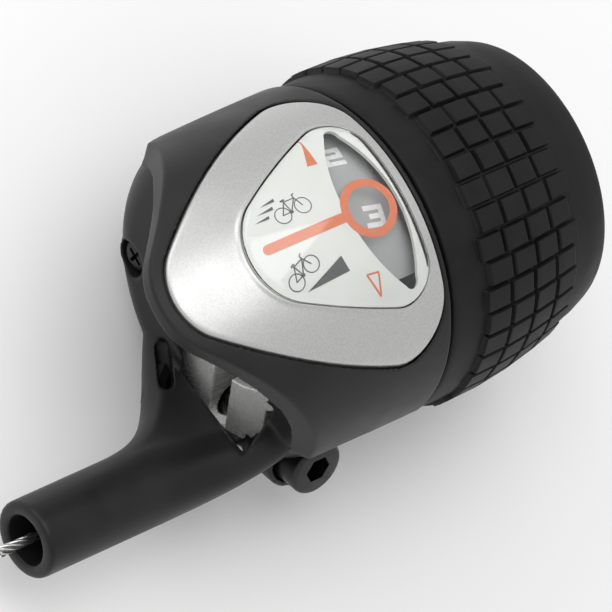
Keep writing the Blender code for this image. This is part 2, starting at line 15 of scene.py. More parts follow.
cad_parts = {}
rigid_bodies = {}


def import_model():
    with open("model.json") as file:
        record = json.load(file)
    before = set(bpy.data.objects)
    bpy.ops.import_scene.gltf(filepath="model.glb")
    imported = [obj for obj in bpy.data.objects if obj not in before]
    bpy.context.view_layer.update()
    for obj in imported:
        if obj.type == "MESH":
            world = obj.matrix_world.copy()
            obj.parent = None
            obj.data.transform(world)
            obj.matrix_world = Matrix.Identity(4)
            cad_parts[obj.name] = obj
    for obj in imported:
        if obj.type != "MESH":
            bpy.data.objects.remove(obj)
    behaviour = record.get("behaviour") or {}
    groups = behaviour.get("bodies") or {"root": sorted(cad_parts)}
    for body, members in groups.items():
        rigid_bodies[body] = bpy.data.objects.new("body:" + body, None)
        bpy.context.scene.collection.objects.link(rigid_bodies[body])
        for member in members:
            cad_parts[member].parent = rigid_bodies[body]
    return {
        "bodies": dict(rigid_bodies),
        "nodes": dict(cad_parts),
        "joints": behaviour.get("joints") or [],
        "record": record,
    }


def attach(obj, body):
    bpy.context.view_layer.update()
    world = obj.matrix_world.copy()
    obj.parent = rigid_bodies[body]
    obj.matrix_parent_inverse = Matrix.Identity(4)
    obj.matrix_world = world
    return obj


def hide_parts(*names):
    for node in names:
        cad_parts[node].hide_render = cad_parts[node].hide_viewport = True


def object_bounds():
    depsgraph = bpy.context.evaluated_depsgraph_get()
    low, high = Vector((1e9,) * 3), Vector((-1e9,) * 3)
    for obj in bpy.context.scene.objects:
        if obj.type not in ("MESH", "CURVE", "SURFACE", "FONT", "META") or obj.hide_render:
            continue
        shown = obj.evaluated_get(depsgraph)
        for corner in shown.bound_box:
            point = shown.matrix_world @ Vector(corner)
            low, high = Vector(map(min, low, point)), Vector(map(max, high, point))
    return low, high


MM = 0.001
FAR = 30.0  # past every outer surface, for the ends of cutting tools

# Body and cover
HOUSING_R = 20.5
SAG = 0.0058  # the crown drops by SAG * x squared towards the nose
SEAM_X = -0.35
COVER_WALL = 1.9
COVER_VOXEL = 0.2
SKIRT_DEPTH = 2.0
SKIRT_END_X = -15.2
CORNER_TRIM_Z = 3.0  # the cover's +Y corner is cut back up to this height
BODY_END_X = -17.4
END_ROUND = 4.2  # the radius round the body's inboard end
END_WALL = 1.2
END_BORE_R = 12.2
END_CAP_X = -15.6  # inboard of here the rear shell closes the whole end
END_CAP_TOP = 8.0  # up to this height
SHELL_OUT_R = (20.3, 19.9)  # at the seam and where the end's round starts
SHELL_IN_R = 18.4
BAR_BORE_R = 11.15
BAR_CLEAR_R = 11.9

# Outlines in plan: virtual nose x, half angle, nose radius, outboard x, corner radius, side radius
COVER_PLAN = (-38.6, 42.0, 9.0, 12.0, 4.0, 400.0)
BEZEL_PLAN = (-41.5, 26.3, 7.2, -1.2, 5.5, 52.0)
LENS_PLAN = (-34.7, 22.8, 7.3, -2.4, 4.2, 60.0)
OUTLINE_POINTS = 288

# Dial: offsets are from the crown
POCKET_FLOOR = -1.15
POCKET_GAP = 0.22  # round the bezel
WINDOW_EDGE = 0.6  # from the lens's edge in to the cover's opening
DIAL_TOP = -0.45
DIAL_CENTRE = (-10.5, 0.0)
PRINT_HEIGHT = (0.005, 0.045)  # the underside and top of printed ink

# Clamp and bolt
CLAMP_X = (-15.2, -7.6)
CLAMP_OUT_R = 13.8
SPLIT_PSI = 147.5
SPLIT_HALF = 1.45
EAR_HALF = 6.2
BOLT_X = -11.4
BOLT_REACH = 17.6
BOLT_R = 2.0
HEAD_SEAT = 9.6
HEAD_R = 3.5
HEAD_HEIGHT = 4.0
HEAD_ROUND = 0.5
HEAD_ROOM_R = 3.8
BOLT_GAP = 0.3  # round the bolt in its holes
BOLT_PAD_R = 4.5
NUT_ROOM_R = 3.1
SOCKET_FLAT = 1.5  # half the width across the socket's flats
SOCKET_DEPTH = 2.2
EAR_START = 12.0  # reach at which the ears leave the band
LIP_WIDE = 1.6  # the ears' lip on their inboard edge
LIP_START = 11.8
LIP_SIDES = (1.6, 1.4)  # past the ear on the nut's side and on the head's side
LIP_REACH = 2.3

# Window in the housing's end, with its corners as (reach along the split, side) on the inboard
# face, and the slot in the neck
WINDOW_CORNERS = ((13.5, -4.2), (17.05, 7.4), (7.6, 11.15), (9.25, -4.77))
WINDOW_ALONG = Vector((-0.566, -0.122, 0.815))  # the way the walls of both run
WINDOW_X = (-31.0, -15.7)
SLOT_CENTRE = Vector((-18.8, -1.6, -13.88))
SLOT_LONG = Vector((-0.225, -0.928, -0.296))
SLOT_HALF = 2.1
SLOT_R = 0.83
SLOT_DEPTH = 2.2

# Cable outlet
OUTLET_PSI = 126.0
OUTLET_REACH = 17.36
OUTLET_R = 4.65
OUTLET_BORE_R = 3.05
OUTLET_END_X = -49.3
FERRULE_SEAT_X = -37.3
CHANNEL_R = 1.3  # the wire's way on from the ferrule's seat
CHANNEL_END_X = -28.4
PARTING_X = -38.4
PARTING_HALF = 0.1
FLARE_X = (-16.6, -36.0)
FLARE_TURN = (-20.0, 58.0)  # how far it spreads each way round the bar
FLARE_DROP = 0.75
FLARE_THINNING = 2.2
FLARE_POWER = 2.2
TUBE_TURN = 0.4  # half the angle left between a ring's round ends

# Cover screw
SCREW_PSI = 222.0
SCREW_REACH = 16.4
SCREW_TOP_X = -16.3
SCREW_BOSS_X = (-16.4, -13.2)
SCREW_BOSS_R = 2.7
SCREW_ROOM_R = 2.3
CROSS_LONG = 2.3
CROSS_WIDE = 0.45
CROSS_DEPTH = 0.7

# Bar sleeve
SLEEVE_OUT_R = 12.1
SLEEVE_BORE_R = BAR_BORE_R + 0.1

# Grip
GRIP_START_X = 0.35
GRIP_END_X = 27.1
GRIP_IN_R = 14.6
COLLAR_R = 20.15
TREAD_X = (5.1, 20.6)
TREAD_COLUMNS = 4
TREAD_ROWS = 40
TREAD_FIRST_PSI = 4.5
TREAD_STEP = 0.125  # the spacing of the tread's rings along the bar
GROOVE_HALF = 0.13
BLOCK_EDGE = 0.2  # how far a block's rounded edge reaches in from its groove
# The grip's barrel as (x, radius): the blocks' tops, and the collar, grooves and outboard end
BLOCK_TOPS = ((5.2, 20.8), (9.6, 20.7), (13.6, 20.3), (17.7, 19.6), (21.7, 18.7))
GRIP_SURFACE = ((0.0, 20.1), (4.2, 20.15), (9.6, 20.05), (13.6, 19.65), (17.7, 18.95), (21.1, 18.3))
GRIP_SURFACE += ((24.2, 17.65), (26.4, 16.9), (27.1, 16.5))

# Number band and its digits
GEAR_STEP = 27.5
BAND_R = (16.8, 17.7)
BAND_X = (-9.2, -0.9)
BAND_PSI = (-80.0, 27.0)
DIGIT_X = -5.35
DIGIT_PSI = 2.1
DIGIT_HALF = (0.98, 1.02)
DIGIT_WIDTH = 0.6
DIGIT_LEAN = -12.0
DIGIT_STROKES = {
    1: (((0.2, 1), (0.2, -1)), ((-0.5, 1), (0.2, 1))),
    2: (((-1, 1), (1, 1)), ((1, 1), (1, 0)), ((1, 0), (-1, 0)), ((-1, 0), (-1, -1)), ((-1, -1), (1, -1))),
    3: (((-1, 1), (1, 1)), ((1, 1), (1, -1)), ((-0.4, 0), (1, 0)), ((-1, -1), (1, -1))),
}

# Cut end of the wire
STRAND_R = 0.2
STRAND_LAY = 0.4
STRAND_PITCH = 9.0
STRAND_X = (-44.0, -53.0)
SPLAY_X = -51.0

# Camera: the direction back from the object, a roll about it, and the point it looks at as
# distances along its side and over axes
CAMERA_BACK = (-0.566, -0.122, 0.815)
CAMERA_SIDE = (0.824, -0.0837, 0.560)
CAMERA_ROLL = 24.0
CAMERA_AIM = (-5.5, -4.14)
CAMERA_WIDTH = 70.3
CAMERA_LENS = 500.0
SENSOR = 36.0

# Light
WORLD_STRENGTH = 0.76
LIGHT_AIM = (-0.01, 0.0, 0.0)
LIGHT_DISTANCE = 0.45
FLOOR_DROP = 0.0002
NOISE_SPAN = (0.35, 0.65)  # most of a noise texture's values lie between these


# ---- places


def around(psi, reach, x=0.0):
    """The point at this angle and distance from the bar's axis."""
    turn = math.radians(psi)
    return Vector((x, -math.sin(turn) * reach, math.cos(turn) * reach))


def clamp_point(x, reach, side):
    """The point this far along the clamp's split and this far to the bolt head's side of it."""
    return around(SPLIT_PSI, reach, x) + around(SPLIT_PSI - 90.0, side)


def frame_of(*axes):
    """The frame whose local X, Y and Z are these axes."""
    return Matrix(axes).transposed().to_4x4()


def clamp_frame():
    """Local X along the bar, local Y towards the bolt's head, local Z out along the split."""
    return frame_of(Vector((1, 0, 0)), around(SPLIT_PSI - 90.0, 1.0), around(SPLIT_PSI, 1.0))


def bolt_frame():
    """Local Z along the bolt towards its head, from the middle of the clamp's split."""
    frame = frame_of(around(SPLIT_PSI, 1.0), Vector((1, 0, 0)), around(SPLIT_PSI - 90.0, 1.0))
    frame.translation = clamp_point(BOLT_X, BOLT_REACH, 0.0)
    return frame


def bar_frame():
    """Local Z along the handlebar, towards its outboard end."""
    return frame_of(Vector((0, 1, 0)), Vector((0, 0, 1)), Vector((1, 0, 0)))


def outlet(x):
    """The point of the outlet's axis at x."""
    return around(OUTLET_PSI, OUTLET_REACH, x)


def screw_place(x):
    """The point of the cover screw's axis at x."""
    return around(SCREW_PSI, SCREW_REACH, x)


def crown(x, y, offset=0.0):
    """The point of the housing's bent crown above (x, y), raised by offset."""
    height = math.sqrt(max((HOUSING_R + offset) ** 2 - y * y, 0.0))
    return Vector((x, y, height - SAG * min(x, 0.0) ** 2))


# ---- outlines


def arc(centre, radius, start, end, pieces):
    """Plan points along an arc, from one angle to another in degrees."""
    points = []
    for i in range(pieces + 1):
        turn = math.radians(start + (end - start) * i / pieces)
        points.append((centre[0] + radius * math.cos(turn), centre[1] + radius * math.sin(turn)))
    return points


def resampled(points, count):
    """The closed outline as this many evenly spaced points, from the first one on."""
    loop = list(points) + [points[0]]
    lengths = [0.0]
    for a, b in zip(loop, loop[1:]):
        lengths.append(lengths[-1] + math.dist(a, b))
    out = []
    k = 0
    for i in range(count):
        target = lengths[-1] * i / count
        while lengths[k + 1] < target:
            k += 1
        step = lengths[k + 1] - lengths[k]
        part = (target - lengths[k]) / step if step else 0.0
        out.append(tuple(a + (b - a) * part for a, b in zip(loop[k], loop[k + 1])))
    return out


def wedge_outline(plan, inset=0.0):
    """A triangle with round corners and bowed sides, from the middle of its straight outboard edge."""
    nose_x, half_angle, nose_r, outboard_x, corner_r, side_r = plan
    slope = math.radians(half_angle)
    corner_x = outboard_x - corner_r
    corner = Vector((corner_x, ((corner_x - nose_x) * math.sin(slope) - corner_r) / math.cos(slope)))
    nose = Vector((nose_x + nose_r / math.sin(slope), 0.0))
    apart = nose - corner
    from_corner, from_nose = side_r - corner_r, side_r - nose_r
    along = (from_corner**2 - from_nose**2 + apart.length_squared) / (2 * apart.length)
    across = math.sqrt(from_corner**2 - along**2)
    middle = corner + apart.normalized() * along
    middle += Vector((-apart.y, apart.x)).normalized() * across
    corner_turn = math.degrees(math.atan2(corner.y - middle.y, corner.x - middle.x))
    nose_turn = math.degrees(math.atan2(nose.y - middle.y, nose.x - middle.x))
    upper = arc(corner, corner_r - inset, 0.0, corner_turn, 24)
    upper += arc(middle, side_r - inset, corner_turn, nose_turn, 24)[1:-1]
    nose_arc = arc(nose, nose_r - inset, nose_turn, 360.0 - nose_turn, 36)
    lower = [(x, -y) for x, y in reversed(upper)]
    return resampled([(outboard_x - inset, 0.0)] + upper + nose_arc + lower, OUTLINE_POINTS)


def mixed_plan(a, b, t):
    return tuple(p + (q - p) * t for p, q in zip(a, b))


# ---- meshes


def object_from(name, bm, finish=None, sharp=None):
    bmesh.ops.scale(bm, vec=(MM, MM, MM), verts=bm.verts)
    bmesh.ops.recalc_face_normals(bm, faces=bm.faces)
    mesh = bpy.data.meshes.new(name)
    bm.to_mesh(mesh)
    bm.free()
    mesh.shade_smooth()
    if sharp is not None:
        mesh.set_sharp_from_angle(angle=math.radians(sharp))
    obj = bpy.data.objects.new(name, mesh)
    bpy.context.scene.collection.objects.link(obj)
    if finish is not None:
        mesh.materials.append(finish)
    return obj


def lofted(bm, rings, ring_shape=False):
    """Quads between rows of points and a cap on each end; with ring_shape the ends join instead."""
    rows = [[bm.verts.new(point) for point in ring] for ring in rings]
    pairs = list(zip(rows, rows[1:]))
    if ring_shape:
        pairs.append((rows[-1], rows[0]))
    for row, following in pairs:
        for i, vert in enumerate(row):
            j = (i + 1) % len(row)
            bm.faces.new((vert, row[j], following[j], following[i]))
    if not ring_shape:
        bm.faces.new(reversed(rows[0]))
        bm.faces.new(rows[-1])


def loft(name, rings, finish=None, sharp=None, ring_shape=False):
    bm = bmesh.new()
    lofted(bm, rings, ring_shape)
    return object_from(name, bm, finish, sharp)


def turned_rings(profile, steps, frame):
    """One ring for each point of a (radius, height) profile, turned about a frame's Z."""
    rings = []
    for radius, height in profile:
        ring = []
        for i in range(steps):
            turn = 2.0 * math.pi * i / steps
            ring.append(frame @ Vector((radius * math.cos(turn), radius * math.sin(turn), height)))
        rings.append(ring)
    return rings


def turned(name, profile, finish=None, steps=160):
    """A closed (radius, x) profile turned about the handlebar."""
    return loft(name, turned_rings(profile, steps, bar_frame()), finish, sharp=30.0, ring_shape=True)


def solid_turned(name, profile, steps, frame):
    """A profile turned about a frame's Z, with its end rings capped."""
    return loft(name, turned_rings(profile, steps, frame), sharp=30.0)


def facing(start, direction):
    """A frame at start with its local Z along this direction."""
    turn = Vector((0, 0, 1)).rotation_difference(direction)
    return Matrix.Translation(start) @ turn.to_matrix().to_4x4()


def rod(name, start, end, radius, sides=96):
    start, end = Vector(start), Vector(end)
    profile = [(radius, 0.0), (radius, (end - start).length)]
    return solid_turned(name, profile, sides, facing(start, end - start))


def bolt_rod(name, start, end, radius, sides=96):
    """A rod along the bolt, between two distances from the split towards the bolt's head."""
    ends = (clamp_point(BOLT_X, BOLT_REACH, side) for side in (start, end))
    return rod(name, *ends, radius, sides)


def block(name, low, high, frame=None):
    low, high = Vector(low), Vector(high)
    bm = bmesh.new()
    bmesh.ops.create_cube(bm, size=1.0)
    bmesh.ops.scale(bm, vec=high - low, verts=bm.verts)
    bmesh.ops.translate(bm, vec=(low + high) / 2, verts=bm.verts)
    if frame is not None:
        bmesh.ops.transform(bm, matrix=frame, verts=bm.verts)
    return object_from(name, bm)


def prism(name, outline, low, high):
    return loft(name, [[Vector((x, y, z)) for x, y in outline] for z in (low, high)])


def bent_solid(name, offset, low_x=-42.0, high_x=SEAM_X):
    """The housing's outer body: a cylinder that bends down towards the nose, grown by offset."""
    sides, stations = 192, 36
    rings = []
    for i in range(stations + 1):
        x = low_x + (high_x - low_x) * i / stations
        drop = Vector((0.0, 0.0, -SAG * min(x, 0.0) ** 2))
        rings.append([around(-360.0 * j / sides, HOUSING_R + offset, x) + drop for j in range(sides)])
    return loft(name, rings)


def shaped(obj, *steps):
    """Run Boolean steps of (operation, tools) one after another, drop the tools, keep the result."""
    tools = []
    for operation, others in steps:
        for other in others:
            boolean = obj.modifiers.new("shape", "BOOLEAN")
            boolean.operation = operation
            boolean.solver = "EXACT"
            boolean.object = other
            tools.append(other)
    bake(obj)
    for tool in tools:
        bpy.data.objects.remove(tool, do_unlink=True)
    return obj


def bake(obj):
    """Replace an object's mesh by what its modifiers make of it."""
    bpy.context.view_layer.update()
    graph = bpy.context.evaluated_depsgraph_get()
    mesh = bpy.data.meshes.new_from_object(obj.evaluated_get(graph))
    obj.modifiers.clear()
    obj.data = mesh
    return obj


def moulded(obj, finish, voxel=0.26, rounds=5):
    """Round every edge as a moulding tool would: remesh finely, then relax the surface."""
    remesh = obj.modifiers.new("skin", "REMESH")
    remesh.mode = "VOXEL"
    remesh.voxel_size = voxel * MM
    remesh.use_smooth_shade = True
    relax = obj.modifiers.new("relax", "SMOOTH")
    relax.factor = 0.5
    relax.iterations = rounds
    return refinished(bake(obj), finish)


def refinished(obj, finish, sharp=None):
    """Give a rebuilt mesh its one finish and its shading."""
    obj.data.materials.clear()
    obj.data.materials.append(finish)
    obj.data.shade_smooth()
    if sharp is not None:
        obj.data.set_sharp_from_angle(angle=math.radians(sharp))
    return obj


def installed(obj, body, slot, *nodes):
    """Ride on a body and stand for CAD nodes; the slot argument is not used."""
    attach(obj, body)
    if nodes:
        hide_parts(*nodes)
    return obj


# ---- materials


def new_material(name, colour, roughness, metallic=0.0, **sockets):
    made = bpy.data.materials.new(name)
    made.use_nodes = True
    shader = made.node_tree.nodes["Principled BSDF"]
    shader.inputs["Base Color"].default_value = (*colour, 1.0)
    shader.inputs["Roughness"].default_value = roughness
    shader.inputs["Metallic"].default_value = metallic
    for socket, value in sockets.items():
        shader.inputs[socket.replace("_", " ")].default_value = value
    return made, made.node_tree, shader


def noise_node(tree, scale, detail=3.0, stretch=(1.0, 1.0, 1.0)):
    """Noise in object space; scale is in cycles for each metre."""
    coordinates = tree.nodes.new("ShaderNodeTexCoord")
    mapping = tree.nodes.new("ShaderNodeMapping")
    mapping.inputs["Scale"].default_value = stretch
    noise = tree.nodes.new("ShaderNodeTexNoise")
    noise.inputs["Scale"].default_value = scale
    noise.inputs["Detail"].default_value = detail
    tree.links.new(coordinates.outputs["Object"], mapping.inputs["Vector"])
    tree.links.new(mapping.outputs["Vector"], noise.inputs["Vector"])
    return noise


def ranged(tree, source, low, high):
    """A noise's values stretched to run from low to high."""
    remap = tree.nodes.new("ShaderNodeMapRange")
    remap.inputs["From Min"].default_value = NOISE_SPAN[0]
    remap.inputs["From Max"].default_value = NOISE_SPAN[1]
    remap.inputs["To Min"].default_value = low
    remap.inputs["To Max"].default_value = high
    tree.links.new(source, remap.inputs["Value"])
    return remap.outputs["Result"]


def bump(tree, shader, source, strength, distance):
    """Fine relief from a source; distance is in millimetres."""
    node = tree.nodes.new("ShaderNodeBump")
    node.inputs["Strength"].default_value = strength
    node.inputs["Distance"].default_value = distance * MM
    tree.links.new(source, node.inputs["Height"])
    tree.links.new(node.outputs["Normal"], shader.inputs["Normal"])


def tinted(tree, shader, source, dark, light):
    """A colour that wanders from dark to light with a source."""
    ramp = tree.nodes.new("ShaderNodeValToRGB")
    for element, position, colour in zip(ramp.color_ramp.elements, NOISE_SPAN, (dark, light)):
        element.position = position
        element.color = (*colour, 1.0)
    tree.links.new(source, ramp.inputs["Fac"])
    tree.links.new(ramp.outputs["Color"], shader.inputs["Base Color"])


def grained_plastic(name, dark, light, roughness, grain=2600.0, strength=0.35):
    """Moulded plastic with a fine spark-eroded grain and faintly uneven gloss."""
    made, tree, shader = new_material(name, light, roughness, Specular_IOR_Level=0.25)
    fine = noise_node(tree, grain, 4.0)
    broad = noise_node(tree, 130.0, 2.0)
    bump(tree, shader, fine.outputs["Fac"], strength, 0.05)
    tinted(tree, shader, broad.outputs["Fac"], dark, light)
    rough = ranged(tree, broad.outputs["Fac"], roughness - 0.05, roughness + 0.06)
    tree.links.new(rough, shader.inputs["Roughness"])
    return made


def flake_paint(name):
    """Silver paint: fine bright flakes under a thin clear coat."""
    made, tree, shader = new_material(
        name, (0.5, 0.51, 0.52), 0.38, 0.85, Coat_Weight=0.1, Coat_Roughness=0.4
    )
    flakes = noise_node(tree, 5200.0, 2.0)
    broad = noise_node(tree, 260.0, 3.0)
    tinted(tree, shader, flakes.outputs["Fac"], (0.50, 0.50, 0.495), (0.58, 0.58, 0.575))
    bump(tree, shader, flakes.outputs["Fac"], 0.07, 0.02)
    tree.links.new(ranged(tree, broad.outputs["Fac"], 0.36, 0.41), shader.inputs["Roughness"])
    return made


def brushed_metal(name, colour, roughness, stretch, strength=0.25, metallic=1.0):
    """Metal with fine lines along one direction and a few darker smudges."""
    made, tree, shader = new_material(name, colour, roughness, metallic)
    lines = noise_node(tree, 900.0, 4.0, stretch)
    smudge = noise_node(tree, 420.0, 3.0)
    tinted(tree, shader, smudge.outputs["Fac"], tuple(0.94 * c for c in colour), colour)
    bump(tree, shader, lines.outputs["Fac"], strength, 0.02)
    rough = ranged(tree, lines.outputs["Fac"], roughness - 0.07, roughness + 0.12)
    tree.links.new(rough, shader.inputs["Roughness"])
    return made


def printed(name, colour):
    """Screen-printed ink: flat colour with a slightly broken surface."""
    made, tree, shader = new_material(name, colour, 0.45)
    speckle = noise_node(tree, 2400.0, 2.0)
    tinted(tree, shader, speckle.outputs["Fac"], tuple(0.9 * c for c in colour), colour)
    return made


def clear_plastic(name):
    """Polished clear plastic that refracts, and lets lamps through to the dial."""
    made, tree, shader = new_material(
        name, (0.97, 0.98, 0.98), 0.02, Transmission_Weight=1.0, IOR=1.45
    )
    haze = noise_node(tree, 300.0, 2.0)
    tree.links.new(ranged(tree, haze.outputs["Fac"], 0.01, 0.04), shader.inputs["Roughness"])
    output = tree.nodes["Material Output"]
    path = tree.nodes.new("ShaderNodeLightPath")
    through = tree.nodes.new("ShaderNodeBsdfTransparent")
    through.inputs["Color"].default_value = (0.94, 0.95, 0.95, 1.0)
    mix = tree.nodes.new("ShaderNodeMixShader")
    tree.links.new(path.outputs["Is Shadow Ray"], mix.inputs["Fac"])
    tree.links.new(shader.outputs["BSDF"], mix.inputs[1])
    tree.links.new(through.outputs["BSDF"], mix.inputs[2])
    tree.links.new(mix.outputs["Shader"], output.inputs["Surface"])
    return made


def rubber(name):
    """Matte moulded rubber with a very fine grain and dusty variation."""
    made, tree, shader = new_material(name, (0.02, 0.02, 0.02), 0.56, Specular_IOR_Level=0.2)
    fine = noise_node(tree, 3400.0, 4.0)
    broad = noise_node(tree, 210.0, 3.0)
    bump(tree, shader, fine.outputs["Fac"], 0.3, 0.05)
    tinted(tree, shader, broad.outputs["Fac"], (0.006, 0.006, 0.0062), (0.011, 0.011, 0.011))
    tree.links.new(ranged(tree, broad.outputs["Fac"], 0.5, 0.62), shader.inputs["Roughness"])
    return made


def make_materials():
    return {
        "cover": grained_plastic("cover_black", (0.012, 0.012, 0.0123), (0.017, 0.017, 0.0173), 0.45),
        "bracket": grained_plastic("bracket_black", (0.010, 0.010, 0.0102), (0.016, 0.016, 0.0162), 0.42),
        "core": grained_plastic("core_black", (0.006, 0.006, 0.006), (0.010, 0.010, 0.010), 0.5),
        "silver": flake_paint("silver_flake"),
        "lens": clear_plastic("lens_clear"),
        "white": grained_plastic(
            "dial_white", (0.66, 0.66, 0.63), (0.70, 0.70, 0.67), 0.5, grain=900.0, strength=0.03
        ),
        "grey": grained_plastic(
            "band_grey", (0.36, 0.36, 0.365), (0.40, 0.40, 0.405), 0.5, grain=2000.0, strength=0.1
        ),
        "orange": printed("ink_orange", (0.66, 0.17, 0.07)),
        "dark_ink": printed("ink_dark", (0.075, 0.072, 0.075)),
        "white_ink": printed("ink_white", (0.85, 0.85, 0.84)),
        "steel": brushed_metal(
            "steel_bright", (0.72, 0.72, 0.71), 0.25, (0.25, 2.2, 2.2), strength=0.05, metallic=0.3
        ),
        "wire": brushed_metal("wire_steel", (0.66, 0.66, 0.65), 0.25, (0.3, 2.0, 2.0)),
        "black_steel": brushed_metal("steel_black", (0.045, 0.044, 0.044), 0.36, (1.0, 1.0, 1.0)),
        "brass": brushed_metal("brass_turned", (0.72, 0.53, 0.25), 0.28, (2.0, 2.0, 0.4)),
        "rubber": rubber("grip_rubber_black"),
        "nylon": grained_plastic(
            "nylon_natural", (0.72, 0.71, 0.64), (0.78, 0.77, 0.71), 0.5, grain=1800.0, strength=0.1
        ),
    }


# ---- fixed shells


def cover_shell(finish):
    """The front shell: nose, skirt, bezel pocket and dial opening."""
    cover = bent_solid("cover_shell", 0.0)
    cavity = bent_solid("cover_cavity", -COVER_WALL, high_x=6.0)
    cavity_plan = prism("cavity_plan", wedge_outline(COVER_PLAN, COVER_WALL), -4.0, 26.0)
    shaped(cavity, ("INTERSECT", [cavity_plan]))
    pocket = bent_solid("bezel_pocket", 1.5, high_x=4.0)
    pocket_floor = bent_solid("pocket_floor", POCKET_FLOOR, low_x=-44.0, high_x=5.0)
    pocket_plan = prism("pocket_plan", wedge_outline(BEZEL_PLAN, -POCKET_GAP), 3.0, FAR)
    shaped(pocket, ("DIFFERENCE", [pocket_floor]), ("INTERSECT", [pocket_plan]))
    shaped(
        cover,
        ("INTERSECT", [prism("cover_plan", wedge_outline(COVER_PLAN), 0.0, FAR)]),
        (
            "DIFFERENCE",
            [
                cavity,
                bent_solid("under_nose", -SKIRT_DEPTH, high_x=SKIRT_END_X),
                block("corner_trim", (-FAR, 0, -1), (SKIRT_END_X, FAR, CORNER_TRIM_Z)),
                rod("bar_room", (-60, 0, 0), (40, 0, 0), BAR_CLEAR_R, sides=128),
                pocket,
                prism("window_plan", wedge_outline(LENS_PLAN, WINDOW_EDGE), 3.0, FAR),
            ],
        ),
    )
    cover = moulded(cover, finish, COVER_VOXEL, rounds=8)
    return installed(cover, "housing", "black_plastic", "front_cover")


def flare_ring(x, start_psi, end_psi, reach, half):
    """A bent stadium: an arc round the bar with this half thickness and round ends."""
    along_steps, end_steps = 28, 24
    ring = []
    for i in range(along_steps + 1):
        psi = start_psi + (end_psi - start_psi) * i / along_steps
        ring.append(around(psi, reach + half, x))
    for sign, psi in ((1.0, end_psi), (-1.0, start_psi)):
        outward = around(psi, 1.0)
        along = around(psi + 90.0, 1.0) * sign
        for i in range(1, end_steps):
            turn = math.pi * i / end_steps
            point = around(psi, reach, x) + outward * (half * math.cos(turn) * sign)
            ring.append(point + along * (half * math.sin(turn)))
        if sign > 0:
            for j in range(along_steps + 1):
                psi_back = end_psi + (start_psi - end_psi) * j / along_steps
                ring.append(around(psi_back, reach - half, x))
    return ring


def outlet_body():
    """The outlet: a flare over the housing's end that narrows to a tube with a fine parting line."""
    stations = 40
    rings = []
    for i in range(stations + 1):
        part = i / stations
        spread = (1.0 - part) ** FLARE_POWER
        rings.append(
            flare_ring(
                FLARE_X[0] + (FLARE_X[1] - FLARE_X[0]) * part,
                OUTLET_PSI + FLARE_TURN[0] * spread - TUBE_TURN,
                OUTLET_PSI + FLARE_TURN[1] * spread + TUBE_TURN,
                OUTLET_REACH - FLARE_DROP * spread,
                OUTLET_R - FLARE_THINNING * spread,
            )
        )
    start_psi, end_psi = OUTLET_PSI - TUBE_TURN, OUTLET_PSI + TUBE_TURN
    for x, slim in (
        (PARTING_X + PARTING_HALF, 0.0),
        (PARTING_X, 0.07),
        (PARTING_X - PARTING_HALF, 0.0),
        (OUTLET_END_X + 0.5, 0.0),
        (OUTLET_END_X + 0.15, 0.12),
        (OUTLET_END_X, 0.4),
    ):
        rings.append(flare_ring(x, start_psi, end_psi, OUTLET_REACH, OUTLET_R - slim))
    return loft("outlet_body", rings)


def access_slot():
    """The slot in the neck: a blind stadium sunk along the clamp window's direction."""
    out = WINDOW_ALONG.normalized()
    long = (SLOT_LONG - out * SLOT_LONG.dot(out)).normalized()
    frame = frame_of(long, out.cross(long), out)
    frame.translation = SLOT_CENTRE
    outline = arc((SLOT_HALF, 0), SLOT_R, -90, 90, 16) + arc((-SLOT_HALF, 0), SLOT_R, 90, 270, 16)
    rings = [[frame @ Vector((x, y, height)) for x, y in outline] for height in (-SLOT_DEPTH, 6.0)]
    return loft("access_slot", rings)


def clamp_window():
    """The window over the clamp's ears, sheared so that its walls run up and inboard."""
    rings = []
    for x in WINDOW_X:
        shift = WINDOW_ALONG * ((x - BODY_END_X) / WINDOW_ALONG.x)
        rings.append([clamp_point(BODY_END_X, reach, side) + shift for reach, side in WINDOW_CORNERS])
    return loft("clamp_window", rings)


